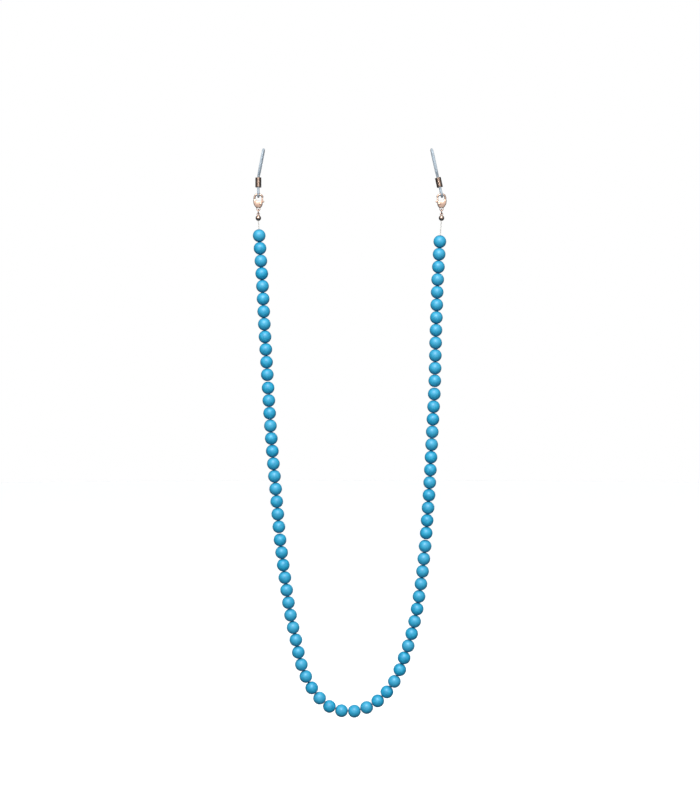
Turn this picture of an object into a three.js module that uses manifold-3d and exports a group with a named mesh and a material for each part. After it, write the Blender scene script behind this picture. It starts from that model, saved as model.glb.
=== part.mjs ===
// A beaded eyeglass retainer strap, hanging from the two temples of a pair of glasses.
// One thread carries a row of round wooden beads. At each end the thread is crimped inside a
// bead tip, which a split ring joins to a lobster clasp. The clasp hooks into the lower eye of a
// silicone loop, and the loop goes round the temple, drawn tight by a coil that slides on its legs.
// Millimetres, +Z up, X from the one temple to the other. The strap hangs in the plane Y = 0, and
// the origin is midway between the loops, level with the seats on which they rest on the temples.
import * as THREE from "three";
import { mergeVertices } from "three/addons/utils/BufferGeometryUtils.js";
import Module from "manifold-3d";

const wasm = await Module();
wasm.setup();

// ---- Driving dimensions ----

const BEAD_RADIUS = 3.83;
const BEAD_PITCH = 7.515;
const BEAD_COUNT = 80;
const BORE_RADIUS = 0.7;
const MOUTH_RADIUS = 1; // the flat round each mouth of a bead's bore
const NECK_RADIUS = 1.15; // what joins the beads of one run to each other
const BEAD_SIDES = 8;
const BEAD_ARCS = 5;

// Beads in each run, from either end of the strap to where the single beads of the bend begin.
const RUN_SIZES = [4, 4, 4, 4, 4, 4, 3, 3];

// The strap folds fore and aft after each of these numbers of beads, and is a little looser there.
const FOLD_AFTER = [12, 24];
const FOLD_SLACK = 0.3;

// After each bead from the first of these to the last, the row turns so much that the beads touch
// at the rims of their bores, which stand a little further apart than the bores' flat faces.
const TIGHT_BEND = [36, 45];
const BEND_SLACK = 0.12;

const THREAD_RADIUS = 0.25;
const THREAD_SIDES = 8;
const THREAD_GAP = 0.15; // from a fold's pivot to the end of the thread on either side of it
const LEAD_IN = 10.5; // from the crimp to the middle of the first bead, on the left

const CORD_RADIUS = 0.7; // the silicone cord of a temple loop
const LEG_OFFSET = 0.72; // from the loop's middle to each leg, where the coil holds the two together
const EYE_RADIUS = 1.9; // of the loop's lower eye, at the middle of the cord
const LOOP_STEPS = 34;

const COIL_TOP = -15.8;
const COIL_LENGTH = 6;
const COIL_RADIUS = 1.82;
const COIL_BORE_RADIUS = 1.5;

const HOOK_Z = -25.8; // the middle of the clasp's hook, where it passes through the lower eye
const HOOK_RADIUS = 0.6;
const HOOK_PLAY = 0.1; // between the hook and the cord on which it hangs
const CLASP_THICKNESS = 2.2;
const SLOT_WIDTH = 1.2;
const LEVER_THICKNESS = 0.9;
const SPRING_WIDTH = 0.8;
const RIVET_RADIUS = 0.35;
const RIVET_HOLE_RADIUS = 0.5;
const RIVET_X = -1.3; // from the hook, as are all places on the clasp
const RIVET_Z = -5.9;
const BASE_EYE_Z = -8.7;
const BASE_EYE_RADIUS = 1.25;
const BASE_HOLE_RADIUS = 0.8;
const BASE_EYE_THICKNESS = 0.8;

const RING_DROP = 8.85; // from the hook to the top of the split ring, at the middle of its wire
const RING_RADIUS = 1.5;
const RING_WIRE_RADIUS = 0.3;
const RING_SLIT = 0.12; // radians

const TIP_LOOP_RADIUS = 0.75;
const TIP_WIRE_RADIUS = 0.22;
const CUP_RADIUS = 1.65;
const CUP_BORE_RADIUS = 1.3;
const CUP_MOUTH_RADIUS = 0.55;
const CUP_DROP = 5.3; // from the ring's top to the middle of the cup
const CRIMP_RADIUS = 0.8;
const CRIMP_BORE_RADIUS = 0.4;
const CRIMP_HEIGHT = 1.1;
const CRIMP_DROP = 5.72;

// Where each end hangs. The loop leans in to its seat on the temple, above the coil.
const ENDS = [
  { side: "left", seatX: -51.4, coilX: -54.4, hookX: -54.4, clasp: Math.PI },
  { side: "right", seatX: 48.6, coilX: 52.1, hookX: 54.3, clasp: 0 },
];

// The thread's route as [x, z], from the left crimp down round the bend and up to the right one.
const ROUTE = [
  [-54.4, -39.9],
  [-53.9, -50.5],
  [-52.8, -66],
  [-51.9, -81],
  [-51.2, -96],
  [-50.4, -111],
  [-49.5, -126],
  [-48.6, -141],
  [-47.7, -156],
  [-46.7, -171],
  [-45.5, -186],
  [-44.1, -201],
  [-42.8, -216],
  [-41.5, -231],
  [-39.6, -246],
  [-37.6, -261],
  [-35.2, -276],
  [-32, -290.8],
  [-28.7, -305.4],
  [-22.3, -319.3],
  [-11.8, -330],
  [2.4, -332.6],
  [16, -326.8],
  [26, -315.4],
  [32, -301.2],
  [36.5, -286.9],
  [39.8, -272],
  [42.1, -257],
  [43.9, -242],
  [45.2, -227],
  [46.4, -212],
  [47.3, -197],
  [48.1, -182],
  [48.8, -167],
  [49.6, -152],
  [50.3, -137],
  [51, -107],
  [52, -77],
  [53.3, -54.2],
  [54.3, -39.9],
];

// ---- Materials ----

const finish = (color, roughness, metalness) =>
  new THREE.MeshStandardMaterial({ color, roughness, metalness });

const paintedWood = finish(0x3f9fd0, 0.45, 0);
const silicone = finish(0xa9b8c4, 0.3, 0);
const roseGold = finish(0xc98a68, 0.25, 1);
const steel = finish(0xb9b9bd, 0.3, 1);
const nylon = finish(0xd9d9d4, 0.35, 0);

// ---- Helpers ----

const point = ([x, z]) => new THREE.Vector3(x, 0, z);

// A closed geometry as a solid that can be joined and cut.
function solid(geometry) {
  const bare = geometry.clone();
  bare.deleteAttribute("normal");
  bare.deleteAttribute("uv");
  const merged = mergeVertices(bare, 1e-4);
  return new wasm.Manifold(
    new wasm.Mesh({
      numProp: 3,
      vertProperties: merged.attributes.position.array,
      triVerts: new Uint32Array(merged.index.array),
    }),
  );
}

function geometryOf(body) {
  const { vertProperties, triVerts } = body.getMesh();
  return new THREE.BufferGeometry()
    .setAttribute("position", new THREE.BufferAttribute(vertProperties, 3))
    .setIndex(new THREE.BufferAttribute(triVerts, 1));
}

// A round bar along a curve.
function bar(curve, radius, sides, steps) {
  const section = new THREE.Shape();
  for (let i = 0; i < sides; i++) {
    const angle = (2 * Math.PI * i) / sides;
    const [x, y] = [radius * Math.cos(angle), radius * Math.sin(angle)];
    if (i) section.lineTo(x, y);
    else section.moveTo(x, y);
  }
  section.closePath();
  return new THREE.ExtrudeGeometry(section, {
    steps,
    bevelEnabled: false,
    extrudePath: curve,
  });
}

// A flat piece of the clasp: an outline in X and Z, with its thickness across Y.
function plate(outline, thickness) {
  const shape = new THREE.Shape(outline.map(([x, z]) => new THREE.Vector2(x, z)));
  return new THREE.ExtrudeGeometry(shape, { depth: thickness, bevelEnabled: false })
    .rotateX(Math.PI / 2)
    .translate(0, thickness / 2, 0);
}

// A round pin or cutter along Y.
const pin = (radius, length, sides, x, z) =>
  new THREE.CylinderGeometry(radius, radius, length, sides).translate(x, 0, z);

// A turned piece that stands on Z, from a profile of [radius, height].
const turned = (profile, sides) =>
  new THREE.LatheGeometry(profile.map(([r, h]) => new THREE.Vector2(r, h)), sides)
    .rotateX(Math.PI / 2);

// Points on a circle about the axis at a height, from one latitude to another.
function arc(radius, height, from, to, steps) {
  return Array.from({ length: steps + 1 }, (_, i) => {
    const latitude = from + ((to - from) * i) / steps;
    return [radius * Math.cos(latitude), height + radius * Math.sin(latitude)];
  });
}

// A profile point that rounding has left beside the axis, put on it.
const onAxis = ([r, h]) => [r < 1e-6 ? 0 : r, h];

const piece = (name, geometry, material) => {
  const mesh = new THREE.Mesh(geometry, material);
  mesh.name = name;
  return mesh;
};

// ---- The beads' places on the route ----

const SAMPLES_PER_SPAN = 40;
const route = new THREE.CatmullRomCurve3(ROUTE.map(point), false, "catmullrom", 0.5);
const track = route.getPoints((ROUTE.length - 1) * SAMPLES_PER_SPAN);

// The next place on the track that lies at this distance, in a straight line, from the last one.
function stepAlong(from, index, distance) {
  while (track[index].distanceTo(from) < distance) index++;
  const [a, b] = [track[index - 1], track[index]];
  const [near, far] = [a.distanceTo(from), b.distanceTo(from)];
  return { at: a.clone().lerp(b, (distance - near) / (far - near)), index };
}

const foldsAfter = [...FOLD_AFTER, ...FOLD_AFTER.map((n) => BEAD_COUNT - n)];

// The room to spare after this number of beads, past the usual pitch.
function slackAfter(count) {
  if (foldsAfter.includes(count)) return FOLD_SLACK;
  return count >= TIGHT_BEND[0] && count <= TIGHT_BEND[1] ? BEND_SLACK : 0;
}

const beads = [stepAlong(track[0], 1, LEAD_IN)];
while (beads.length < BEAD_COUNT) {
  const { at, index } = beads.at(-1);
  beads.push(stepAlong(at, index, BEAD_PITCH + slackAfter(beads.length)));
}

// ---- Beads ----

// A run of beads on one axis, bored from end to end, with short necks between them.
function beadRun(count) {
  const mouth = Math.acos(MOUTH_RADIUS / BEAD_RADIUS);
  const neck = Math.acos(NECK_RADIUS / BEAD_RADIUS);
  const profile = [];
  for (let i = 0; i < count; i++) {
    const height = (i - (count - 1) / 2) * BEAD_PITCH;
    const low = i === 0 ? mouth : neck;
    const high = i === count - 1 ? mouth : neck;
    profile.push(...arc(BEAD_RADIUS, height, -low, high, BEAD_ARCS));
  }
  const [bottom, top] = [profile[0][1], profile.at(-1)[1]];
  profile.push([BORE_RADIUS, top], [BORE_RADIUS, bottom], profile[0]);
  return turned(profile, BEAD_SIDES);
}

// The beads from first to last of the row, as one piece on the line through them.
function placedRun(name, first, last) {
  const [start, end] = [beads[first].at, beads[last].at];
  const along = first === last
    ? beads[first + 1].at.clone().sub(beads[first - 1].at)
    : end.clone().sub(start);
  const mesh = piece(name, beadRun(last - first + 1), paintedWood);
  mesh.position.copy(start).add(end).divideScalar(2);
  mesh.quaternion.setFromUnitVectors(new THREE.Vector3(0, 0, 1), along.normalize());
  return mesh;
}

function beadRow() {
  const row = [];
  let taken = 0;
  RUN_SIZES.forEach((size, i) => {
    const last = BEAD_COUNT - 1 - taken;
    row.push(placedRun(`bead_run_left_${i + 1}`, taken, taken + size - 1));
    row.push(placedRun(`bead_run_right_${i + 1}`, last - size + 1, last));
    taken += size;
  });
  for (let i = taken; i < BEAD_COUNT - taken; i++) row.push(placedRun(`bead_${i + 1}`, i, i));
  return row;
}

// ---- Thread ----

const foldPivot = (after) =>
  beads[after - 1].at.clone().add(beads[after].at).divideScalar(2);

// A stretch of thread from one fold's pivot to the next, or from a crimp.
function threadStretch(name, startAt, endAt, stepLength) {
  const nearest = (place) =>
    track.reduce((best, p, i) => (p.distanceTo(place) < track[best].distanceTo(place) ? i : best), 0);
  const [from, to] = [startAt ? nearest(startAt) : 0, endAt ? nearest(endAt) : track.length - 1];
  const inner = track.slice(from + 2, to - 1);
  const start = startAt
    ? startAt.clone().add(inner[0].clone().sub(startAt).setLength(THREAD_GAP))
    : track[0];
  const end = endAt
    ? endAt.clone().add(inner.at(-1).clone().sub(endAt).setLength(THREAD_GAP))
    : track.at(-1);
  const path = new THREE.CatmullRomCurve3([start, ...inner, end]);
  const steps = Math.round(path.getLength() / stepLength);
  return piece(name, bar(path, THREAD_RADIUS, THREAD_SIDES, steps), nylon);
}

function thread() {
  const [upperLeft, lowerLeft, upperRight, lowerRight] = foldsAfter.map(foldPivot);
  const [straightStep, bendStep] = [9, 5];
  return [
    threadStretch("thread_upper_left", null, upperLeft, straightStep),
    threadStretch("thread_middle_left", upperLeft, lowerLeft, straightStep),
    threadStretch("thread_lower", lowerLeft, lowerRight, bendStep),
    threadStretch("thread_middle_right", lowerRight, upperRight, straightStep),
    threadStretch("thread_upper_right", upperRight, null, straightStep),
  ];
}

// ---- Temple loop and its coil ----

// The middle of the cord on the loop's +Y side, as [y, z], from the seat down to the lower eye.
const EYE_Z = HOOK_Z - HOOK_RADIUS - HOOK_PLAY - CORD_RADIUS + EYE_RADIUS;
const LOOP_SIDE = [
  [0.4, CORD_RADIUS],
  [2.1, 0.05],
  [3.1, -1.7],
  [3.25, -4.5],
  [3.25, -9],
  [2.7, -12.2],
  [1.25, -14.7],
  [LEG_OFFSET, -16],
  [LEG_OFFSET, -18.5],
  [LEG_OFFSET, -21],
  [LEG_OFFSET, -23.6],
  [1.3, -24.25],
  [EYE_RADIUS, EYE_Z],
  [EYE_RADIUS * Math.SQRT1_2, EYE_Z - EYE_RADIUS * Math.SQRT1_2],
  [0.4, EYE_Z - EYE_RADIUS],
];

// Where the loop's middle plane stands at a height: it leans from the seat to the coil, and from
// the coil on to the hook.
function loopX({ seatX, coilX, hookX }, z) {
  const lower = (z - COIL_TOP) / (HOOK_Z - COIL_TOP);
  return z > COIL_TOP
    ? THREE.MathUtils.mapLinear(z, 0, COIL_TOP, seatX, coilX)
    : coilX + lower * (hookX - coilX);
}

function templeLoop(end) {
  const side = (sign) => {
    const past = ([y, z]) => [-y, z];
    const points = [past(LOOP_SIDE[0]), ...LOOP_SIDE, past(LOOP_SIDE.at(-1))];
    const path = points.map(([y, z]) => new THREE.Vector3(loopX(end, z), sign * y, z));
    return solid(bar(new THREE.CatmullRomCurve3(path), CORD_RADIUS, 8, LOOP_STEPS));
  };
  return piece(`temple_loop_${end.side}`, geometryOf(side(1).add(side(-1))), silicone);
}

function tighteningCoil(end) {
  const half = COIL_LENGTH / 2;
  const tube = turned(
    [
      [COIL_BORE_RADIUS, -half],
      [COIL_RADIUS, -half],
      [COIL_RADIUS, half],
      [COIL_BORE_RADIUS, half],
      [COIL_BORE_RADIUS, -half],
    ],
    16,
  );
  const mesh = piece(`tightening_coil_${end.side}`, tube, roseGold);
  const middle = COIL_TOP - half;
  mesh.position.set(loopX(end, middle), 0, middle);
  mesh.rotation.y = Math.atan((end.hookX - end.coilX) / (HOOK_Z - COIL_TOP));
  return mesh;
}

// ---- Lobster clasp, its places counted from the middle of the hook ----

const HOOK = [
  [2.05, -4.8],
  [2.25, -3.3],
  [2.2, -1.7],
  [1.45, -0.4],
  [0, 0],
  [-1.45, -0.4],
  [-2.3, -1.2],
  [-2.42, -1.75],
];
const CLASP_OUTLINE = [
  [2.85, -3.3],
  [2.95, -4.6],
  [2.65, -6],
  [1.95, -7.2],
  [1.05, -8.1],
  [-1.05, -8.1],
  [-1.9, -7.3],
  [-2.4, -6.3],
  [-2.5, -5.1],
  [-2, -4.3],
  [-0.5, -4.1],
  [0.9, -3.8],
  [1.5, -3.1],
];
const SLOT_OUTLINE = [
  [-3.5, -7],
  [0.95, -7],
  [0.95, -3.2],
  [-3.5, -3.2],
];
const LEVER_OUTLINE = [
  [-2.7, -2.25],
  [-2.75, -3.6],
  [-3.4, -4],
  [-3.5, -4.5],
  [-3, -4.95],
  [-2.3, -5.1],
  [-2.05, -6.1],
  [-1.7, -6.6],
  [-1, -6.6],
  [-0.6, -6],
  [-0.75, -5.3],
  [-1.75, -3.8],
  [-2, -2.05],
];
const SPRING_OUTLINE = [
  [0.85, -4.2],
  [0.65, -4.2],
  [0.65, -6.1],
  [-0.7, -4.7],
  [-0.85, -4.88],
  [0.7, -6.85],
  [0.85, -6.7],
];

function claspBody(name) {
  const hook = new THREE.CatmullRomCurve3(HOOK.map(point));
  const body = solid(plate(CLASP_OUTLINE, CLASP_THICKNESS))
    .add(solid(bar(hook, HOOK_RADIUS, 8, 16)))
    .subtract(solid(plate(SLOT_OUTLINE, SLOT_WIDTH)))
    .subtract(solid(pin(RIVET_HOLE_RADIUS, 2 * CLASP_THICKNESS, 12, RIVET_X, RIVET_Z)))
    .add(solid(pin(BASE_EYE_RADIUS, BASE_EYE_THICKNESS, 16, 0, BASE_EYE_Z)))
    .subtract(solid(pin(BASE_HOLE_RADIUS, 2 * CLASP_THICKNESS, 12, 0, BASE_EYE_Z)));
  return piece(name, geometryOf(body), roseGold);
}

function claspLever(name) {
  const lever = solid(plate(LEVER_OUTLINE, LEVER_THICKNESS)).subtract(
    solid(pin(RIVET_HOLE_RADIUS, 2 * LEVER_THICKNESS, 12, RIVET_X, RIVET_Z)),
  );
  return piece(name, geometryOf(lever), roseGold);
}

// A rivet through both cheeks of the clasp, with a low head on each side.
function claspRivet(name) {
  const [headRadius, headHeight] = [0.65, 0.2];
  const cheek = CLASP_THICKNESS / 2 + 0.05;
  const profile = [
    [0, -cheek - headHeight],
    [headRadius, -cheek - headHeight],
    [headRadius, -cheek],
    [RIVET_RADIUS, -cheek],
    [RIVET_RADIUS, cheek],
    [headRadius, cheek],
    [headRadius, cheek + headHeight],
    [0, cheek + headHeight],
  ];
  const mesh = piece(name, turned(profile, 10).rotateX(Math.PI / 2), roseGold);
  mesh.position.set(RIVET_X, 0, RIVET_Z);
  return mesh;
}

const claspSpring = (name) => piece(name, plate(SPRING_OUTLINE, SPRING_WIDTH), steel);

// ---- Split ring, bead tip and crimp, their places counted from the top of the ring ----

class RingPath extends THREE.Curve {
  getPoint(t) {
    const angle = RING_SLIT + t * (2 * Math.PI - 2 * RING_SLIT);
    return new THREE.Vector3(
      0,
      RING_RADIUS * Math.cos(angle),
      RING_RADIUS * (Math.sin(angle) - 1),
    );
  }
}

const splitRing = (name) =>
  piece(name, bar(new RingPath(), RING_WIRE_RADIUS, 8, 22), roseGold);

// A hollow cup, open below for the thread, with a loop on top that the split ring passes through.
function beadTip(name) {
  const mouth = (radius) => -Math.acos(CUP_MOUTH_RADIUS / radius);
  const cup = turned(
    [
      ...arc(CUP_RADIUS, 0, mouth(CUP_RADIUS), Math.PI / 2, 7).map(onAxis),
      ...arc(CUP_BORE_RADIUS, 0, Math.PI / 2, mouth(CUP_BORE_RADIUS), 6).map(onAxis),
      arc(CUP_RADIUS, 0, mouth(CUP_RADIUS), 0, 1)[0],
    ],
    12,
  ).translate(0, 0, -CUP_DROP);
  const loop = new THREE.TorusGeometry(TIP_LOOP_RADIUS, TIP_WIRE_RADIUS, 8, 16)
    .rotateX(Math.PI / 2)
    .translate(0, 0, -2 * RING_RADIUS);
  return piece(name, geometryOf(solid(cup).add(solid(loop))), roseGold);
}

function crimpBead(name) {
  const half = CRIMP_HEIGHT / 2;
  const profile = [
    [CRIMP_BORE_RADIUS, -half],
    [CRIMP_RADIUS * 0.8, -half],
    [CRIMP_RADIUS, 0],
    [CRIMP_RADIUS * 0.8, half],
    [CRIMP_BORE_RADIUS, half],
    [CRIMP_BORE_RADIUS, -half],
  ];
  const mesh = piece(name, turned(profile, 10), steel);
  mesh.position.z = -CRIMP_DROP;
  return mesh;
}

// ---- Assembly ----

function strapEnd(end) {
  const { side, hookX, clasp } = end;
  const claspGroup = new THREE.Group();
  claspGroup.position.set(hookX, 0, HOOK_Z);
  claspGroup.rotation.z = clasp;
  claspGroup.add(
    claspBody(`clasp_body_${side}`),
    claspLever(`clasp_lever_${side}`),
    claspRivet(`clasp_rivet_${side}`),
    claspSpring(`clasp_spring_${side}`),
  );
  const tipGroup = new THREE.Group();
  tipGroup.position.set(hookX, 0, HOOK_Z - RING_DROP);
  tipGroup.add(
    splitRing(`split_ring_${side}`),
    beadTip(`bead_tip_${side}`),
    crimpBead(`crimp_bead_${side}`),
  );
  return [templeLoop(end), tighteningCoil(end), claspGroup, tipGroup];
}

const group = new THREE.Group();
group.add(...ENDS.flatMap(strapEnd), ...thread(), ...beadRow());
export default group;
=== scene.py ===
"""The looks of a beaded eyeglass retainer strap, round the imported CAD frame.

80 painted wooden beads hang on one clear thread. At each end the thread is crimped inside a bead
tip, which a split ring joins to a lobster clasp, and the clasp hooks into a silicone temple loop
that a sliding wire coil draws tight. Metres, +Z up, in the CAD frame.
"""

import math
import random

import bmesh
import bpy
from mathutils import Matrix, Vector


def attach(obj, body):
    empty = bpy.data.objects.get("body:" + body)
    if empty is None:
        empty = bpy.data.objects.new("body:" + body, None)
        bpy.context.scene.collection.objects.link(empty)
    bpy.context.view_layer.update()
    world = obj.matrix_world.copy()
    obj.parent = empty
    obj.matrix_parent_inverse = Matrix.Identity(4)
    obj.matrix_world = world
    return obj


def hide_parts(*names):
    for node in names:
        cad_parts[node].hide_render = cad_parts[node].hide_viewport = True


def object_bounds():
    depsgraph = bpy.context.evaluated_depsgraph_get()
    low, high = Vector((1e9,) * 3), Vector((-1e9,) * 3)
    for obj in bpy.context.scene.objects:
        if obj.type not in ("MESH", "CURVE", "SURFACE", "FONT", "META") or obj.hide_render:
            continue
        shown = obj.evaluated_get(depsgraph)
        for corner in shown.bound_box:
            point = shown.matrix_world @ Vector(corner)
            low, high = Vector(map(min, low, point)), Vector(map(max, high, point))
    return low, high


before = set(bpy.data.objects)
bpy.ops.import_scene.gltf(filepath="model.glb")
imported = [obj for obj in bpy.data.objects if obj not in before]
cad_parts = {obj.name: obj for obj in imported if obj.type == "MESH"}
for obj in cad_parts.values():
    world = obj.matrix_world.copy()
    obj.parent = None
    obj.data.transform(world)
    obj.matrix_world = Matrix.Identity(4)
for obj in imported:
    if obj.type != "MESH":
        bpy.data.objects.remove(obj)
cad_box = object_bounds()

MM = 0.001
X, Y, Z = Vector((1, 0, 0)), Vector((0, 1, 0)), Vector((0, 0, 1))

# ---- Sizes and places, as in the CAD source ----

BEAD_RADIUS = 3.83 * MM
BEAD_PITCH = 7.515 * MM
BEAD_COUNT = 80
BORE_RADIUS = 0.7 * MM
RUN_SIZES = (4, 4, 4, 4, 4, 4, 3, 3)
FOLD_AFTER = (12, 24)  # the beads before each fold, counted from either end
FOLDS = [*FOLD_AFTER, *(BEAD_COUNT - n for n in FOLD_AFTER)]  # the same, counted from the left
FOLD_SLACK = 0.3 * MM
TIGHT_BEND = (36, 45)
BEND_SLACK = 0.12 * MM

THREAD_RADIUS = 0.25 * MM
THREAD_GAP = 0.15 * MM
LEAD_IN = 10.5 * MM

CORD_RADIUS = 0.7 * MM
LEG_OFFSET = 0.72 * MM
EYE_RADIUS = 1.9 * MM

COIL_TOP = -15.8 * MM
COIL_LENGTH = 6 * MM
COIL_RADIUS = 1.82 * MM
COIL_WIRE_RADIUS = 0.16 * MM

HOOK_Z = -25.8 * MM
HOOK_RADIUS = 0.6 * MM
HOOK_PLAY = 0.1 * MM
CLASP_THICKNESS = 2.2 * MM
SLOT_WIDTH = 1.2 * MM
LEVER_THICKNESS = 0.9 * MM
SPRING_WIDTH = 0.8 * MM
RIVET_RADIUS = 0.35 * MM
RIVET_HOLE_RADIUS = 0.5 * MM
RIVET = (-1.3 * MM, -5.9 * MM)
BASE_EYE_Z = -8.7 * MM
BASE_EYE_RADIUS = 1.25 * MM
BASE_HOLE_RADIUS = 0.8 * MM
BASE_EYE_THICKNESS = 0.8 * MM

RING_DROP = 8.85 * MM
RING_RADIUS = 1.5 * MM
RING_WIRE_RADIUS = 0.3 * MM
RING_SLIT = 0.12  # radians

TIP_LOOP_RADIUS = 0.75 * MM
TIP_WIRE_RADIUS = 0.22 * MM
CUP_RADIUS = 1.65 * MM
CUP_BORE_RADIUS = 1.3 * MM
CUP_MOUTH_RADIUS = 0.55 * MM
CUP_DROP = 5.3 * MM
CRIMP_RADIUS = 0.8 * MM
CRIMP_BORE_RADIUS = 0.4 * MM
CRIMP_HEIGHT = 1.1 * MM
CRIMP_DROP = 5.72 * MM

# Each end's places along X, and how its clasp is turned about Z.
ENDS = {
    "left": {"seat": -0.0514, "coil": -0.0544, "hook": -0.0544, "turn": math.pi},
    "right": {"seat": 0.0486, "coil": 0.0521, "hook": 0.0543, "turn": 0},
}

# The thread's route as (x, z), from the left crimp down round the bend and up to the right one.
ROUTE = [
    (-0.0544, -0.0399),
    (-0.0539, -0.0505),
    (-0.0528, -0.066),
    (-0.0519, -0.081),
    (-0.0512, -0.096),
    (-0.0504, -0.111),
    (-0.0495, -0.126),
    (-0.0486, -0.141),
    (-0.0477, -0.156),
    (-0.0467, -0.171),
    (-0.0455, -0.186),
    (-0.0441, -0.201),
    (-0.0428, -0.216),
    (-0.0415, -0.231),
    (-0.0396, -0.246),
    (-0.0376, -0.261),
    (-0.0352, -0.276),
    (-0.032, -0.2908),
    (-0.0287, -0.3054),
    (-0.0223, -0.3193),
    (-0.0118, -0.33),
    (0.0024, -0.3326),
    (0.016, -0.3268),
    (0.026, -0.3154),
    (0.032, -0.3012),
    (0.0365, -0.2869),
    (0.0398, -0.272),
    (0.0421, -0.257),
    (0.0439, -0.242),
    (0.0452, -0.227),
    (0.0464, -0.212),
    (0.0473, -0.197),
    (0.0481, -0.182),
    (0.0488, -0.167),
    (0.0496, -0.152),
    (0.0503, -0.137),
    (0.051, -0.107),
    (0.052, -0.077),
    (0.0533, -0.0542),
    (0.0543, -0.0399),
]

# ---- Camera ----

CAMERA_PLACE = (0, -1.121, -0.1479)
LENS_LENGTH = 85  # in millimetres, as is the sensor's width
SENSOR_WIDTH = 36


def make_camera():
    """A long lens that looks straight along +Y at the front of the strap."""
    data = bpy.data.cameras.new("camera")
    data.lens = LENS_LENGTH
    data.sensor_width = SENSOR_WIDTH
    camera = bpy.data.objects.new("camera", data)
    camera.location = CAMERA_PLACE
    camera.rotation_euler = (math.pi / 2, 0, 0)
    bpy.context.scene.collection.objects.link(camera)
    bpy.context.scene.camera = camera


make_camera()

# ---- Node helpers ----

NOISE_ROUGHNESS = 0.55

# The sockets of a Mix node that mixes colours.
MIX_SHARE, MIX_LOW, MIX_HIGH, MIX_RESULT = 0, 6, 7, 2


class Nodes:
    """Short ways to fill one node tree."""

    def __init__(self, tree):
        self.tree = tree
        self.tree.nodes.clear()

    def add(self, kind, inputs=(), **settings):
        """A node with these settings, and inputs by name or number: a value, or a socket to link."""
        node = self.tree.nodes.new(kind)
        for key, value in settings.items():
            setattr(node, key, value)
        for key, value in dict(inputs).items():
            if isinstance(value, bpy.types.NodeSocket):
                self.tree.links.new(value, node.inputs[key])
            else:
                node.inputs[key].default_value = value
        return node

    def attribute(self, name, output):
        """What the mesh's attribute of that name says at each point."""
        return self.add("ShaderNodeAttribute", attribute_name=name).outputs[output]

    def own_place(self):
        """Each point's place in its object's own frame."""
        return self.add("ShaderNodeTexCoord").outputs["Object"]

    def noise(self, vector, scale, detail=3.0):
        inputs = {"Vector": vector, "Scale": scale, "Detail": detail, "Roughness": NOISE_ROUGHNESS}
        return self.add("ShaderNodeTexNoise", inputs).outputs["Fac"]

    def stretched(self, vector, scale):
        node = self.add("ShaderNodeVectorMath", {0: vector, 1: scale}, operation="MULTIPLY")
        return node.outputs[0]

    def ramp(self, value, stops):
        """A colour ramp, from (position, colour) stops. A number stands for a grey."""
        node = self.add("ShaderNodeValToRGB", {"Fac": value})
        elements = node.color_ramp.elements
        while len(elements) < len(stops):
            elements.new(0.5)
        for element, (position, colour) in zip(elements, stops):
            element.position = position
            grey = isinstance(colour, (int, float))
            element.color = (colour, colour, colour, 1) if grey else (*colour, 1)
        return node.outputs["Color"]

    def mix(self, share, low, high):
        """The second colour in that share over the first one, each a colour or a socket."""
        inputs = {MIX_SHARE: share}
        for key, colour in ((MIX_LOW, low), (MIX_HIGH, high)):
            inputs[key] = (*colour, 1) if isinstance(colour, tuple) else colour
        return self.add("ShaderNodeMix", inputs, data_type="RGBA").outputs[MIX_RESULT]

    def bump(self, height, distance, strength, under=None):
        inputs = {"Height": height, "Distance": distance, "Strength": strength}
        if under:
            inputs["Normal"] = under
        return self.add("ShaderNodeBump", inputs).outputs["Normal"]


def material(name, paint):
    """A material whose Principled node gets the inputs that paint(nodes) gives."""
    made = bpy.data.materials.new(name)
    made.use_nodes = True
    nodes = Nodes(made.node_tree)
    shader = nodes.add("ShaderNodeBsdfPrincipled", paint(nodes))
    nodes.add("ShaderNodeOutputMaterial", {"Surface": shader.outputs[0]})
    return made


# ---- Materials ----


def painted_wood(nodes):
    """Blue stain under a thin satin lacquer, grain along the bore, and painted shade round the mouths.
    """
    deep, light = (0.004, 0.26, 0.475), (0.018, 0.4, 0.63)
    greyer = (0.045, 0.37, 0.58)
    streak = (0.003, 0.2, 0.42)
    pore = (0.002, 0.13, 0.3)
    mouth_shade_colour = (0.002, 0.08, 0.17)
    place = nodes.attribute("bead_place", "Vector")
    grain = nodes.noise(nodes.stretched(place, (5, 5, 0.45)), 1.0, 5.0)
    pores = nodes.noise(nodes.stretched(place, (9, 9, 1.6)), 1.0, 2.0)
    cloud = nodes.noise(place, 0.6, 4.0)
    tint = nodes.noise(nodes.stretched(place, (0.02, 0.02, 0.02)), 1.0, 0.0)
    mouth_shade = nodes.attribute("painted_mouth_shade", "Fac")
    clouded = nodes.ramp(cloud, [(0.35, deep), (0.65, light)])
    tinted = nodes.mix(nodes.ramp(tint, [(0.35, 0.0), (0.65, 0.6)]), clouded, greyer)
    streaked = nodes.mix(nodes.ramp(grain, [(0.5, 0.0), (0.72, 0.3)]), tinted, streak)
    pored = nodes.mix(nodes.ramp(pores, [(0.62, 0.0), (0.75, 0.4)]), streaked, pore)
    # Painted shade: the paint darkens towards each mouth of the bore, where the beads touch and shade
    # each other.
    shaded = nodes.mix(nodes.ramp(mouth_shade, [(0.0, 0.0), (1.0, 0.85)]), pored, mouth_shade_colour)
    relief = nodes.bump(grain, 0.03 * MM, 0.35)
    return {
        "Base Color": shaded,
        "Roughness": nodes.ramp(cloud, [(0.3, 0.5), (0.7, 0.4)]),
        "Normal": nodes.bump(pores, -0.04 * MM, 0.3, relief),
        "Coat Weight": 0.5,
        "Coat Roughness": 0.42,
        "IOR": 1.47,
    }


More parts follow.
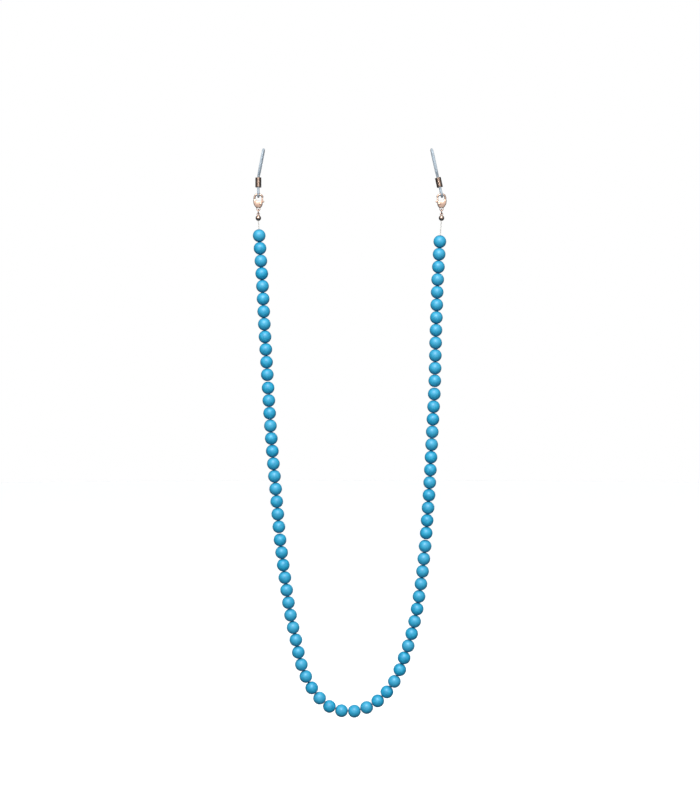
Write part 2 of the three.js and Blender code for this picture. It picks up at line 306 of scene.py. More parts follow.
def bare_wood(nodes):
    """The unpainted wood inside a bead's bore, a little stained by the paint."""
    stained, plain = (0.2, 0.24, 0.26), (0.42, 0.36, 0.27)
    place = nodes.attribute("bead_place", "Vector")
    grain = nodes.noise(nodes.stretched(place, (6, 6, 0.8)), 1.0, 4.0)
    return {
        "Base Color": nodes.ramp(grain, [(0.35, stained), (0.65, plain)]),
        "Roughness": 0.8,
        "Normal": nodes.bump(grain, 0.05 * MM, 0.5),
    }


def silicone(nodes):
    """Cloudy blue-grey silicone that lets some light through, with a dull, slightly dusty skin."""
    darker, paler = (0.4, 0.47, 0.53), (0.48, 0.55, 0.61)
    place = nodes.own_place()
    cloud = nodes.noise(place, 500.0, 2.0)
    dust = nodes.noise(place, 5200.0, 2.0)
    return {
        "Base Color": nodes.ramp(cloud, [(0.3, darker), (0.7, paler)]),
        "Roughness": nodes.ramp(dust, [(0.35, 0.3), (0.65, 0.38)]),
        "Normal": nodes.bump(dust, 0.008 * MM, 0.15),
        "Transmission Weight": 0.25,
        "IOR": 1.41,
    }


def rose_gold(nodes):
    """Rose-gold plating, worn brown in small patches and marked by fine scratches."""
    plated, worn = (0.62, 0.43, 0.34), (0.27, 0.17, 0.12)
    place = nodes.own_place()
    tarnish = nodes.noise(place, 700.0, 4.0)
    scratches = nodes.noise(nodes.stretched(place, (9000, 9000, 900)), 1.0, 2.0)
    return {
        "Base Color": nodes.mix(nodes.ramp(tarnish, [(0.45, 0.0), (0.75, 0.8)]), plated, worn),
        "Metallic": 1.0,
        "Roughness": nodes.ramp(tarnish, [(0.35, 0.17), (0.7, 0.34)]),
        "Normal": nodes.bump(scratches, 0.01 * MM, 0.2),
    }


def coil_wire(nodes):
    """The coil's rose-gold wire, tarnished brown in small patches."""
    bright, tarnished = (0.56, 0.42, 0.34), (0.3, 0.21, 0.16)
    place = nodes.own_place()
    tarnish = nodes.noise(place, 1100.0, 4.0)
    return {
        "Base Color": nodes.ramp(tarnish, [(0.35, bright), (0.7, tarnished)]),
        "Metallic": 1.0,
        "Roughness": nodes.ramp(tarnish, [(0.3, 0.2), (0.7, 0.32)]),
        "Normal": nodes.bump(nodes.noise(place, 9000.0), 0.008 * MM, 0.2),
    }


def spring_steel(nodes):
    """Brushed steel, for the clasp's spring and the crimp."""
    place = nodes.own_place()
    brushed = nodes.noise(nodes.stretched(place, (2000, 12000, 2000)), 1.0, 2.0)
    return {
        "Base Color": nodes.ramp(brushed, [(0.3, 0.42), (0.7, 0.6)]),
        "Metallic": 1.0,
        "Roughness": nodes.ramp(brushed, [(0.3, 0.22), (0.7, 0.4)]),
        "Normal": nodes.bump(brushed, 0.01 * MM, 0.3),
    }


def clear_nylon(nodes):
    """The thread's clear nylon, slightly grey and clouded."""
    darker, paler = (0.4, 0.39, 0.36), (0.52, 0.51, 0.48)
    place = nodes.own_place()
    cloud = nodes.noise(place, 1500.0, 2.0)
    return {
        "Base Color": nodes.ramp(cloud, [(0.3, darker), (0.7, paler)]),
        "Roughness": nodes.ramp(cloud, [(0.3, 0.15), (0.7, 0.3)]),
        "Transmission Weight": 0.5,
        "IOR": 1.5,
    }


def floor_paint(nodes):
    """Pale paint with a faint grain, and a glow that makes up for the light the floor lacks."""
    place = nodes.own_place()
    grain = nodes.noise(place, 60.0, 3.0)
    return {
        "Base Color": nodes.ramp(grain, [(0.3, 0.86), (0.7, 0.88)]),
        "Roughness": 0.9,
        "Emission Color": (1, 1, 1, 1),
        "Emission Strength": 0.36,
    }


WOOD = material("painted_wood", painted_wood)
BORE_WOOD = material("bare_wood", bare_wood)
SILICONE = material("silicone", silicone)
ROSE_GOLD = material("rose_gold", rose_gold)
COIL_WIRE = material("coil_wire", coil_wire)
STEEL = material("spring_steel", spring_steel)
NYLON = material("clear_nylon", clear_nylon)
FLOOR = material("floor_paint", floor_paint)

# ---- Mesh helpers ----

SHARP_ANGLE = 40  # degrees between two faces, above which their edge is not smoothed
MERGE_DISTANCE = 1e-7  # points closer than this become one
LEVEL_WITHIN = 1e-9  # an edge whose ends are this close along Y is one of a plate's rims
ROUNDING_STEPS = 3
END_STEPS = 4
END_TIP = 0.08  # the radius at the very end of a round-ended bar, over the bar's own


def smooth_line(points, per_span, power=0.5, closed=False):
    """Points on the Catmull-Rom curve through these: uniform at power 0, centripetal at 0.5."""
    if closed:
        around = [points[-1], *points, points[0], points[1]]
    else:
        around = [2 * points[0] - points[1], *points, 2 * points[-1] - points[-2]]
    line = []
    for a, b, c, d in zip(around, around[1:], around[2:], around[3:]):
        before, span, after = ((q - p).length ** power for p, q in ((a, b), (b, c), (c, d)))
        leave = ((b - a) / before - (c - a) / (before + span) + (c - b) / span) * span
        arrive = ((c - b) / span - (d - b) / (span + after) + (d - c) / after) * span
        for i in range(per_span):
            t = i / per_span
            square = 3 * (c - b) - 2 * leave - arrive
            cube = 2 * (b - c) + leave + arrive
            line.append(b + leave * t + square * t**2 + cube * t**3)
    return line if closed else [*line, points[-1]]


def finished(name, bm, sharp=SHARP_ANGLE):
    """The mesh of a bmesh, its faces turned outward, smooth but for edges sharper than that."""
    bmesh.ops.recalc_face_normals(bm, faces=bm.faces)
    mesh = bpy.data.meshes.new(name)
    bm.to_mesh(mesh)
    bm.free()
    mesh.shade_smooth()
    mesh.set_sharp_from_angle(angle=math.radians(sharp))
    return mesh


def mesh_from(name, rings, closed):
    """A mesh from rings of points, its last ring joined to the first if closed, capped if not."""
    bm = bmesh.new()
    rows = [[bm.verts.new(p) for p in ring] for ring in rings]
    following = rows[1:] + rows[:1] if closed else rows[1:]
    count = len(rows[0])
    for low, high in zip(rows, following):
        for i in range(count):
            j = (i + 1) % count
            bm.faces.new((low[i], low[j], high[j], high[i]))
    if not closed:
        bm.faces.new(rows[0][::-1])
        bm.faces.new(rows[-1])
    return finished(name, bm)


def tube(name, line, radius, across, sides, closed=False):
    """A round bar along a line, which never runs along across. radius may be a list, one per point."""
    radii = radius if isinstance(radius, list) else [radius] * len(line)
    rings = []
    for i, (point, size) in enumerate(zip(line, radii)):
        after = line[(i + 1) % len(line)] if closed or i + 1 < len(line) else point
        before = line[i - 1] if closed or i else point
        along = (after - before).normalized()
        side = along.cross(across).normalized()
        up = side.cross(along)
        angles = [2 * math.pi * k / sides for k in range(sides)]
        rings.append([point + size * (math.cos(a) * side + math.sin(a) * up) for a in angles])
    return mesh_from(name, rings, closed)


def round_ended(line, radius):
    """The line and its radii, with both ends drawn out into half a ball."""
    first = (line[0] - line[1]).normalized()
    last = (line[-1] - line[-2]).normalized()
    angles = [math.pi / 2 * k / END_STEPS for k in range(1, END_STEPS + 1)]
    caps = [(math.sin(a) * radius, max(math.cos(a), END_TIP) * radius) for a in angles]
    start = [line[0] + out * first for out, _ in reversed(caps)]
    end = [line[-1] + out * last for out, _ in caps]
    radii = [r for _, r in reversed(caps)] + [radius] * len(line) + [r for _, r in caps]
    return start + line + end, radii


def lathe(name, profile, sides, sharp=SHARP_ANGLE):
    """A closed profile of (radius, height) turned about Z. A point on the axis becomes one vertex."""
    bm = bmesh.new()
    columns = []
    for k in range(sides):
        angle = 2 * math.pi * k / sides
        spot = (math.cos(angle), math.sin(angle))
        columns.append([bm.verts.new((r * spot[0], r * spot[1], h)) for r, h in profile])
    for left, right in zip(columns, columns[1:] + columns[:1]):
        for i in range(len(profile)):
            j = (i + 1) % len(profile)
            if profile[i][0] or profile[j][0]:
                bm.faces.new((left[i], right[i], right[j], left[j]))
    bmesh.ops.remove_doubles(bm, verts=bm.verts, dist=MERGE_DISTANCE)
    return finished(name, bm, sharp)


def rounded_section(inner, outer, half_height, corner):
    """The closed (radius, height) profile of a ring with rounded corners."""
    middles = [
        (outer - corner, half_height - corner, 0),
        (inner + corner, half_height - corner, 1),
        (inner + corner, corner - half_height, 2),
        (outer - corner, corner - half_height, 3),
    ]
    profile = []
    for r, h, quarter in middles:
        for k in range(ROUNDING_STEPS + 1):
            angle = math.pi / 2 * (quarter + k / ROUNDING_STEPS)
            profile.append((r + corner * math.cos(angle), h + corner * math.sin(angle)))
    return profile


def plate(name, outline, thickness, rim, steps=4):
    """A flat piece in X and Z with rounded rims, from points of one smooth closed outline."""
    bm = bmesh.new()
    front = bm.faces.new([bm.verts.new((p.x, -thickness / 2, p.z)) for p in outline])
    extruded = bmesh.ops.extrude_face_region(bm, geom=[front])["geom"]
    back = [v for v in extruded if isinstance(v, bmesh.types.BMVert)]
    bmesh.ops.translate(bm, verts=back, vec=(0, thickness, 0))
    if rim:
        rims = [e for e in bm.edges if abs(e.verts[0].co.y - e.verts[1].co.y) < LEVEL_WITHIN]
        bmesh.ops.bevel(
            bm,
            geom=rims,
            offset=rim,
            segments=steps,
            profile=0.5,
            affect="EDGES",
            clamp_overlap=True,
        )
    return finished(name, bm)


def combined(first, *steps):
    """The first mesh with each (operation, mesh) of steps done to it by exact booleans."""
    base = bpy.data.objects.new(first.name, first)
    bpy.context.scene.collection.objects.link(base)
    tools = []
    for operation, mesh in steps:
        tool = bpy.data.objects.new("tool", mesh)
        bpy.context.scene.collection.objects.link(tool)
        tools.append(tool)
        modifier = base.modifiers.new("boolean", "BOOLEAN")
        modifier.operation = operation
        modifier.solver = "EXACT"
        modifier.object = tool
    bpy.context.view_layer.update()
    graph = bpy.context.evaluated_depsgraph_get()
    result = bpy.data.meshes.new_from_object(base.evaluated_get(graph))
    for thing in [base, *tools]:
        bpy.data.objects.remove(thing)
    result.shade_smooth()
    result.set_sharp_from_angle(angle=math.radians(SHARP_ANGLE))
    return result


def moved(mesh, matrix):
    mesh.transform(matrix)
    return mesh


def coated(mesh, finish):
    """The mesh, all of it in one material."""
    mesh.materials.clear()
    mesh.materials.append(finish)
    return mesh


def add_piece(name, data, body, node):
    """Shows a mesh or a curve as a piece that rides on a body and stands for a CAD node."""
    piece = bpy.data.objects.new(name, data)
    bpy.context.scene.collection.objects.link(piece)
    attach(piece, body)
    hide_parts(node)
    return piece


# ---- The beads' places on the route ----

TRACK_STEPS = 40  # points of the track from one point of the route to the next

track = smooth_line([Vector((x, 0, z)) for x, z in ROUTE], TRACK_STEPS, power=0)


def step_along(start, index, distance):
    """The next place on the track at this straight distance from start, and the index past it."""
    while (track[index] - start).length < distance:
        index += 1
    near, far = (track[index - 1] - start).length, (track[index] - start).length
    return track[index - 1].lerp(track[index], (distance - near) / (far - near)), index


def slack_after(count):
    """The gap between the bead with this number, counted from the left, and the next one."""
    if count in FOLDS:
        return FOLD_SLACK
    return BEND_SLACK if TIGHT_BEND[0] <= count <= TIGHT_BEND[1] else 0


def find_bead_places():
    """The middle of each bead, from the left."""
    place, index = step_along(track[0], 1, LEAD_IN)
    found = [place]
    while len(found) < BEAD_COUNT:
        place, index = step_along(place, index, BEAD_PITCH + slack_after(len(found)))
        found.append(place)
    return found


places = find_bead_places()

# ---- Thread ----

THREAD_STRIDE = 8  # the thread takes every eighth point of the track
THREAD_ROUNDING = 4  # the bevel resolution of the thread's curve


def thread_piece(name, body, start, end):
    """A stretch of the thread between two fold pivots. None is the crimp at that end."""

    def nearest(place):
        return min(range(len(track)), key=lambda i: (track[i] - place).length)

    first = nearest(start) if start else 0
    last = nearest(end) if end else len(track) - 1
    inner = track[first + 2 : last - 1 : THREAD_STRIDE]
    head = start + THREAD_GAP * (inner[0] - start).normalized() if start else track[0]
    tail = end + THREAD_GAP * (inner[-1] - end).normalized() if end else track[-1]
    line = [head, *inner, tail]
    data = bpy.data.curves.new(name, "CURVE")
    data.dimensions = "3D"
    data.bevel_depth = THREAD_RADIUS
    data.bevel_resolution = THREAD_ROUNDING
    data.use_fill_caps = True
    spline = data.splines.new("POLY")
    spline.points.add(len(line) - 1)
    for knot, place in zip(spline.points, line):
        knot.co = (*place, 1)
    data.materials.append(NYLON)
    piece = add_piece(name, data, body, name.removesuffix("_strand"))


def make_thread():
    """The thread's five stretches, which meet halfway between the two beads at each fold."""
    upper_left, lower_left, upper_right, lower_right = (
        (places[n - 1] + places[n]) / 2 for n in FOLDS
    )
    thread_piece("thread_upper_left_strand", "strap_upper", None, upper_left)
    thread_piece("thread_middle_left_strand", "strap_middle", upper_left, lower_left)
    thread_piece("thread_lower_strand", "strap_lower", lower_left, lower_right)
    thread_piece("thread_middle_right_strand", "strap_middle", lower_right, upper_right)
    thread_piece("thread_upper_right_strand", "strap_upper", upper_right, None)


make_thread()

# ---- Beads ----

BEAD_SIDES = 40
BEAD_LATITUDES = 24
BEAD_SHARP_ANGLE = 60
LIP = 0.15 * MM  # the rounding of the edge at each mouth of a bead's bore
LIP_STEPS = 3
MOUTH_RADIUS = 0.86 * MM
MOUTH_SHADE_RADIUS = 2.9 * MM  # round each mouth, where painted shade darkens the paint as if the touching beads shaded it
TURN_LENGTH = 0.995  # of a bead that tilts against its neighbours, over any other bead's
LEAST_SIZE = 0.99  # of a bead's width, over the full one
MOST_OVAL = 0.004  # the swing of a bead's radius about its mean, over that mean
GRAIN_RANGE = 500  # millimetres each way, from which a bead's place in the grain is drawn
BORE_REACH = 1.02  # faces out to this share of the bore's radius are bare wood
BEAD_SEED = 80


def bead_profile():
    """A bead's section, bore and all."""
    top = math.acos(MOUTH_RADIUS / BEAD_RADIUS)
    latitudes = [-top + 2 * top * i / BEAD_LATITUDES for i in range(BEAD_LATITUDES + 1)]
    outside = [(BEAD_RADIUS * math.cos(a), BEAD_RADIUS * math.sin(a)) for a in latitudes]
    face = BEAD_RADIUS * math.sin(top)
    upper = []
    for k in range(LIP_STEPS + 1):
        angle = math.pi / 2 * (1 + k / LIP_STEPS)
        r = BORE_RADIUS + LIP + LIP * math.cos(angle)
        upper.append((r, face - LIP + LIP * math.sin(angle)))
    inner = [(BORE_RADIUS, face / 3), (BORE_RADIUS, -face / 3)]
    lower = [(r, -h) for r, h in reversed(upper)]
    return outside + upper + inner + lower


def stands_at_turn(i):
    """Whether bead i is beside a fold or in the tight bend, where it tilts against its neighbours."""
    return any(i in (n - 1, n) for n in FOLDS) or TIGHT_BEND[0] - 1 <= i <= TIGHT_BEND[1]


def bead_mesh(name, draw, length):
    """One bead: its bore stays true, while its outside is a little smaller or more oval than a ball."""
    profile = [(r, h * length) for r, h in bead_profile()]
    mesh = lathe(name, profile, BEAD_SIDES, BEAD_SHARP_ANGLE)
    size = draw.uniform(LEAST_SIZE, 1.0)
    oval = draw.uniform(0, MOST_OVAL)
    lean = draw.uniform(0, 2 * math.pi)
    offset = Vector([draw.uniform(-GRAIN_RANGE, GRAIN_RANGE) for _ in range(3)])
    spots = []
    shaded = []
    for vertex in mesh.vertices:
        x, y, z = vertex.co
        spots.append(vertex.co / MM + offset)
        reach = math.hypot(x, y)
        # Painted shade: how much the paint is darkened here, most at the mouth and none beyond the
        # shade's radius.
        shaded.append(max(0, (MOUTH_SHADE_RADIUS - reach) / (MOUTH_SHADE_RADIUS - MOUTH_RADIUS)))
        if reach > MOUTH_RADIUS:
            share = (reach - MOUTH_RADIUS) / (BEAD_RADIUS - MOUTH_RADIUS)
            ripple = oval * math.cos(2 * math.atan2(y, x) + lean)
            scale = 1 - share * (1 - size + oval - ripple)
            vertex.co = (x * scale, y * scale, z)
    attribute = mesh.attributes.new("bead_place", "FLOAT_VECTOR", "POINT")
    attribute.data.foreach_set("vector", [n for spot in spots for n in spot])
    mesh.attributes.new("painted_mouth_shade", "FLOAT", "POINT").data.foreach_set("value", shaded)
    mesh.materials.append(WOOD)
    mesh.materials.append(BORE_WOOD)
    for face in mesh.polygons:
        in_bore = math.hypot(face.center.x, face.center.y) < BORE_RADIUS * BORE_REACH
        face.material_index = 1 if in_bore else 0
    return mesh


def make_run(node, body, first, last, draw):
    """The beads from first to last, on the line through the two. All turn with one CAD body."""
    start, end = places[first], places[last]
    along = end - start if last > first else places[first + 1] - places[first - 1]
    turn = along.to_track_quat("Z", "Y").to_matrix().to_4x4()
    middle = (start + end) / 2
    for i in range(first, last + 1):
        out = (i - (first + last) / 2) * BEAD_PITCH
        place = Matrix.Translation(middle + out * along.normalized()) @ turn
        name = f"wooden_bead_{i + 1:02d}"
        mesh = bead_mesh(name, draw, TURN_LENGTH if stands_at_turn(i) else 1)
        add_piece(name, moved(mesh, place), body, node)


def make_beads():
    draw = random.Random(BEAD_SEED)
    taken = 0
    for k, size in enumerate(RUN_SIZES, 1):
        last = BEAD_COUNT - 1 - taken
        make_run(f"bead_run_left_{k}", f"loose_run_left_{k}", taken, taken + size - 1, draw)
        make_run(f"bead_run_right_{k}", f"loose_run_right_{k}", last - size + 1, last, draw)
        taken += size
    for i in range(taken, BEAD_COUNT - taken):
        make_run(f"bead_{i + 1}", f"loose_bead_{i + 1}", i, i, draw)


make_beads()

# ---- Temple loop and its coil ----

COIL_TURNS = 17
LOOP_STEPS = 12  # from one point of the loop's side to the next
EYE_Z = HOOK_Z - HOOK_RADIUS - HOOK_PLAY - CORD_RADIUS + EYE_RADIUS

# The middle of the cord on the loop's +Y side, as (y, z), from the seat down to the lower eye.
LOOP_SIDE = [
    (0.0004, CORD_RADIUS),
    (0.0021, 0.00005),
    (0.0031, -0.0017),
    (0.00325, -0.0045),
    (0.00325, -0.009),
    (0.0027, -0.0122),
    (0.00125, -0.0147),
    (LEG_OFFSET, -0.016),
    (LEG_OFFSET, -0.0185),
    (LEG_OFFSET, -0.021),
    (LEG_OFFSET, -0.0236),
    (0.0013, -0.02425),
    (EYE_RADIUS, EYE_Z),
    (EYE_RADIUS * math.sqrt(0.5), EYE_Z - EYE_RADIUS * math.sqrt(0.5)),
    (0.0004, EYE_Z - EYE_RADIUS),
]


def loop_x(end, z):
    """Where the loop's middle plane stands at a height: it leans to the coil, and on to the hook."""
    if z > COIL_TOP:
        return end["seat"] + z / COIL_TOP * (end["coil"] - end["seat"])
    return end["coil"] + (z - COIL_TOP) / (HOOK_Z - COIL_TOP) * (end["hook"] - end["coil"])


def make_loop(side, end):
    ring = LOOP_SIDE + [(-y, z) for y, z in reversed(LOOP_SIDE)]
    points = [Vector((loop_x(end, z), y, z)) for y, z in ring]
    line = smooth_line(points, LOOP_STEPS, closed=True)
    mesh = coated(tube(f"loop_{side}", line, CORD_RADIUS, X, 24, closed=True), SILICONE)
    add_piece(f"silicone_loop_{side}", mesh, "temple_loops", f"temple_loop_{side}")


def make_coil(side, end):
    """A close-wound helix round the loop's two legs, with the wire's ends rounded."""
    wire = COIL_WIRE_RADIUS
    per_turn = 24
    steps = COIL_TURNS * per_turn
    height = COIL_LENGTH - 2 * wire
    spread = COIL_RADIUS - wire
    bottom = -COIL_LENGTH / 2 + wire
    line = []
    for i in range(steps + 1):
        angle = 2 * math.pi * i / per_turn
        rise = bottom + height * i / steps
        line.append(Vector((spread * math.cos(angle), spread * math.sin(angle), rise)))
    line, radii = round_ended(line, wire)
    mesh = coated(tube(f"coil_{side}", line, radii, Z, 10), COIL_WIRE)
    middle = COIL_TOP - COIL_LENGTH / 2
    lean = math.atan((end["hook"] - end["coil"]) / (HOOK_Z - COIL_TOP))
    place = Matrix.Translation((loop_x(end, middle), 0, middle)) @ Matrix.Rotation(lean, 4, "Y")
    body, node = f"coil_{side}", f"tightening_coil_{side}"
    add_piece(f"wire_coil_{side}", moved(mesh, place), body, node)


# ---- Lobster clasp, its places counted from the middle of the hook ----

CLASP_RIM = 0.45 * MM  # how far the edges of each part are rounded
LEVER_RIM = 0.14 * MM
SPRING_RIM = 0.04 * MM
BASE_EYE_ROUNDING = 0.15 * MM
RIVET_STANDOFF = 0.05 * MM  # from the clasp's cheek to the rivet's head
RIVET_HEAD_RADIUS = 0.65 * MM
RIVET_HEAD_RISE = 0.2 * MM
CUTTER_LENGTH = 2 * CLASP_THICKNESS

HOOK = [
    (0.00205, -0.0048),
    (0.00225, -0.0033),
    (0.0022, -0.0017),
    (0.00145, -0.0004),
    (0, 0),
    (-0.00145, -0.0004),
    (-0.0023, -0.0012),
    (-0.00242, -0.00175),
]
CLASP_OUTLINE = [
    (0.00285, -0.0033),
    (0.00295, -0.0046),
    (0.00265, -0.006),
    (0.00195, -0.0072),
    (0.00105, -0.0081),
    (-0.00105, -0.0081),
    (-0.0019, -0.0073),
    (-0.0024, -0.0063),
    (-0.0025, -0.0051),
    (-0.002, -0.0043),
    (-0.0005, -0.0041),
    (0.0009, -0.0038),
    (0.0015, -0.0031),
]
SLOT_OUTLINE = [
    (-0.0035, -0.007),
    (0.00095, -0.007),
    (0.00095, -0.0032),
    (-0.0035, -0.0032),
]
LEVER_OUTLINE = [
    (-0.0027, -0.00225),
    (-0.00275, -0.0036),
    (-0.0034, -0.004),
    (-0.0035, -0.0045),
    (-0.003, -0.00495),
    (-0.0023, -0.0051),
    (-0.00205, -0.0061),
    (-0.0017, -0.0066),
    (-0.001, -0.0066),
    (-0.0006, -0.006),
    (-0.00075, -0.0053),
    (-0.00175, -0.0038),
    (-0.002, -0.00205),
]
SPRING_OUTLINE = [
    (0.00085, -0.0042),
    (0.00065, -0.0042),
    (0.00065, -0.0061),
    (-0.0007, -0.0047),
    (-0.00085, -0.00488),
    (0.0007, -0.00685),
    (0.00085, -0.0067),
]


def outline_of(points, per_span=4):
    """The smooth outline through these (x, z) points, or the points alone where per_span is 1."""
    flat = [Vector((x, 0, z)) for x, z in points]
    return smooth_line(flat, per_span, closed=True) if per_span > 1 else flat


def along_y(x, z):
    """What lays a lathed shape's axis along Y, and its middle at this place."""
    return Matrix.Translation((x, 0, z)) @ Matrix.Rotation(math.pi / 2, 4, "X")


def pin(radius, length, x, z, sides=32):
    """A round cutter along Y."""
    half = length / 2
    mesh = lathe("pin", [(0, -half), (radius, -half), (radius, half), (0, half)], sides)
    return moved(mesh, along_y(x, z))


def clasp_body():
    hook_line = smooth_line([Vector((x, 0, z)) for x, z in HOOK], 6)
    hook_line, radii = round_ended(hook_line[:-2], HOOK_RADIUS)
    hook = tube("hook", hook_line, radii, Y, 24)
    case = plate("clasp", outline_of(CLASP_OUTLINE, 5), CLASP_THICKNESS, CLASP_RIM)
    slot = plate("slot", outline_of(SLOT_OUTLINE, 1), SLOT_WIDTH, 0)
    half = BASE_EYE_THICKNESS / 2
    section = rounded_section(BASE_HOLE_RADIUS, BASE_EYE_RADIUS, half, BASE_EYE_ROUNDING)
    eye = moved(lathe("eye", section, 40), along_y(0, BASE_EYE_Z))
    return combined(
        case,
        ("UNION", hook),
        ("DIFFERENCE", slot),
        ("DIFFERENCE", pin(RIVET_HOLE_RADIUS, CUTTER_LENGTH, *RIVET)),
        ("UNION", eye),
        ("DIFFERENCE", pin(BASE_HOLE_RADIUS, CUTTER_LENGTH, 0, BASE_EYE_Z, 40)),
    )


def clasp_lever():
    lever = plate("lever", outline_of(LEVER_OUTLINE), LEVER_THICKNESS, LEVER_RIM)
    return combined(lever, ("DIFFERENCE", pin(RIVET_HOLE_RADIUS, CUTTER_LENGTH, *RIVET)))


def clasp_rivet():
    """A pin through both cheeks of the clasp, with a domed head on each side."""
    base = CLASP_THICKNESS / 2 + RIVET_STANDOFF
    upper = [(RIVET_RADIUS, base)]
    for angle in (0, 0.4, 0.8, 1.2):
        height = base + RIVET_HEAD_RISE * math.sin(angle)
        upper.append((RIVET_HEAD_RADIUS * math.cos(angle), height))
    upper.append((0, base + RIVET_HEAD_RISE))
    lower = [(r, -h) for r, h in reversed(upper)]
    return moved(lathe("rivet", lower + upper, 28), along_y(*RIVET))


def clasp_spring():
    return plate("spring", outline_of(SPRING_OUTLINE, 1), SPRING_WIDTH, SPRING_RIM, steps=2)


def make_clasp(side, end):
    place = Matrix.Translation((end["hook"], 0, HOOK_Z)) @ Matrix.Rotation(end["turn"], 4, "Z")
    for part, shape, finish, slot, body in (
        ("clasp_body", clasp_body, ROSE_GOLD, "rose_gold_metal", f"clasp_{side}"),
        ("clasp_lever", clasp_lever, ROSE_GOLD, "rose_gold_metal", f"lever_{side}"),
        ("clasp_rivet", clasp_rivet, ROSE_GOLD, "rose_gold_metal", f"clasp_{side}"),
        ("clasp_spring", clasp_spring, STEEL, "spring_steel", f"clasp_{side}"),
    ):
        mesh = moved(coated(shape(), finish), place)
        add_piece(f"{part}_{side}_detail", mesh, body, f"{part}_{side}")


# ---- Split ring, bead tip and crimp, their places counted from the top of the ring ----

SEAM_RADIUS = 0.07 * MM
CRIMP_ROUNDING = 0.12 * MM
CRIMP_SQUEEZE = 0.2  # how much thinner the crimp is at its waist


def split_ring():
    """A ring of wire in the YZ plane, with a slit between its ends."""
    steps = 48
    line = []
    for i in range(steps + 1):
        angle = RING_SLIT + (2 * math.pi - 2 * RING_SLIT) * i / steps
        spot = (0, RING_RADIUS * math.cos(angle), RING_RADIUS * (math.sin(angle) - 1))
        line.append(Vector(spot))
    return tube("ring", line, RING_WIRE_RADIUS, X, 20)


def shell_arc(radius):
    """The (radius, height) section of a ball of this size, from the cup's mouth up to its top."""
    mouth = math.acos(CUP_MOUTH_RADIUS / radius)
    steps = 14
    arc = []
    for i in range(steps):
        angle = -mouth + (mouth + math.pi / 2) * i / steps
        arc.append((radius * math.cos(angle), radius * math.sin(angle)))
    return [*arc, (0, radius)]


def wire_hoop(name, radius, middle_z, wire, sides):
    """A ring of wire in the XZ plane."""
    steps = 40
    line = []
    for i in range(steps):
        angle = 2 * math.pi * i / steps
        line.append(Vector((radius * math.cos(angle), 0, radius * math.sin(angle) + middle_z)))
    return tube(name, line, wire, Y, sides, closed=True)


def bead_tip():
    """A clamshell cup with a seam round it, and the wire loop that hangs on the split ring."""
    profile = shell_arc(CUP_RADIUS) + shell_arc(CUP_BORE_RADIUS)[::-1]
    cup = moved(lathe("cup", profile, 40), Matrix.Translation((0, 0, -CUP_DROP)))
    seam = wire_hoop("seam", CUP_RADIUS, -CUP_DROP, SEAM_RADIUS, 8)
    loop = wire_hoop("loop", TIP_LOOP_RADIUS, -2 * RING_RADIUS, TIP_WIRE_RADIUS, 16)
    return combined(cup, ("DIFFERENCE", seam), ("UNION", loop))


def crimp_bead():
    """A short tube squeezed flat on the thread from both sides."""
    section = rounded_section(CRIMP_BORE_RADIUS, CRIMP_RADIUS, CRIMP_HEIGHT / 2, CRIMP_ROUNDING)
    mesh = lathe("crimp", section, 28)
    for vertex in mesh.vertices:
        vertex.co.y *= 1 - CRIMP_SQUEEZE * math.cos(math.pi * vertex.co.z / CRIMP_HEIGHT)
    return moved(mesh, Matrix.Translation((0, 0, -CRIMP_DROP)))


def make_string_end(side, end):
    place = Matrix.Translation((end["hook"], 0, HOOK_Z - RING_DROP))
    for part, shape, finish, slot in (
        ("split_ring", split_ring, ROSE_GOLD, "rose_gold_metal"),
        ("bead_tip", bead_tip, ROSE_GOLD, "rose_gold_metal"),
        ("crimp_bead", crimp_bead, STEEL, "spring_steel"),
    ):
        mesh = moved(coated(shape(), finish), place)
        add_piece(f"{part}_{side}_detail", mesh, "strap_upper", f"{part}_{side}")


for side, end in ENDS.items():
    make_loop(side, end)
    make_coil(side, end)
    make_clasp(side, end)
    make_string_end(side, end)

# ---- Floor, world and lights ----

FLOOR_RADIUS = 4
FLOOR_DROP = 0.03


def make_floor():
    """A disc a little below the strap, which neither lights it nor shows in its metal."""
    bm = bmesh.new()
    bmesh.ops.create_circle(bm, cap_ends=True, segments=96, radius=FLOOR_RADIUS)
    floor = bpy.data.objects.new("floor", finished("floor", bm))
    floor.location.z = cad_box[0].z - FLOOR_DROP
    floor.data.materials.append(FLOOR)
    floor.visible_diffuse = False
    floor.visible_glossy = False
    bpy.context.scene.collection.objects.link(floor)


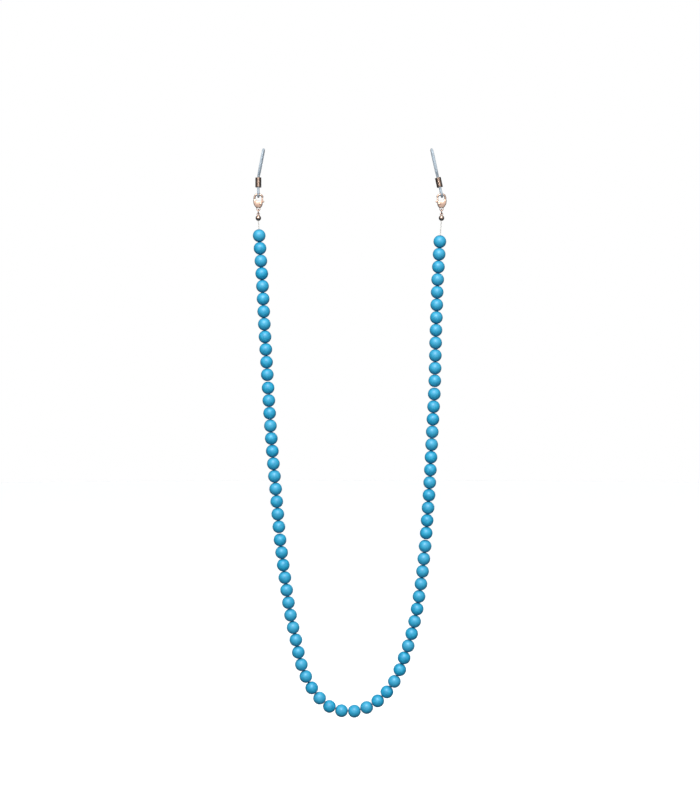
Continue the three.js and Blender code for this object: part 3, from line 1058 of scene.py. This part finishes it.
def make_world():
    """A surround that is plain white to the camera, and lights the strap from in front and above."""
    world = bpy.data.worlds.new("studio")
    bpy.context.scene.world = world
    world.use_nodes = True
    nodes = Nodes(world.node_tree)
    way = nodes.add("ShaderNodeTexCoord").outputs["Generated"]
    brightest = Vector((0, -0.8, 0.6))
    facing = nodes.add("ShaderNodeVectorMath", {0: way, 1: brightest}, operation="DOT_PRODUCT")
    share = nodes.add("ShaderNodeMapRange", {"Value": facing.outputs["Value"], "From Min": -1.0})
    behind, beside = (0.07, 0.08, 0.09), (0.035, 0.06, 0.09)
    stops = [(0.0, behind), (0.6, beside), (0.78, 0.5), (1.0, 1.0)]
    sky = nodes.ramp(share.outputs[0], stops)
    seen = nodes.add("ShaderNodeBackground", {"Color": (1, 1, 1, 1), "Strength": 1.0})
    light = nodes.add("ShaderNodeBackground", {"Color": sky, "Strength": 1.3})
    path = nodes.add("ShaderNodeLightPath").outputs["Is Camera Ray"]
    both = nodes.add("ShaderNodeMixShader", {0: path, 1: light.outputs[0], 2: seen.outputs[0]})
    nodes.add("ShaderNodeOutputWorld", {"Surface": both.outputs[0]})


def add_lamp(name, data, source):
    """A lamp that shines from the direction of source."""
    lamp = bpy.data.objects.new(name, data)
    lamp.rotation_euler = source.to_track_quat("Z", "Y").to_euler()
    bpy.context.scene.collection.objects.link(lamp)
    return lamp


def make_softbox(name, place, aim, size, power):
    """A round softbox at place, facing aim, that no camera sees."""
    data = bpy.data.lights.new(name, "AREA")
    data.shape = "DISK"
    data.size = size
    data.energy = power
    lamp = add_lamp(name, data, place - aim)
    lamp.location = place
    lamp.visible_camera = False


def make_sun(name, source, spread, strength):
    """Even light from the direction of source, spread over so many degrees, that makes no glint."""
    data = bpy.data.lights.new(name, "SUN")
    data.angle = math.radians(spread)
    data.energy = strength
    add_lamp(name, data, source).visible_glossy = False


make_floor()
make_world()
make_softbox(
    "key", place=Vector((-0.1, -0.95, 0.62)), aim=Vector((0, 0, -0.15)), size=0.68, power=13.2
)
make_sun("back", source=Vector((0.2, 1, 0.3)), spread=40, strength=2.4)

bpy.context.scene.view_settings.view_transform = "Standard"
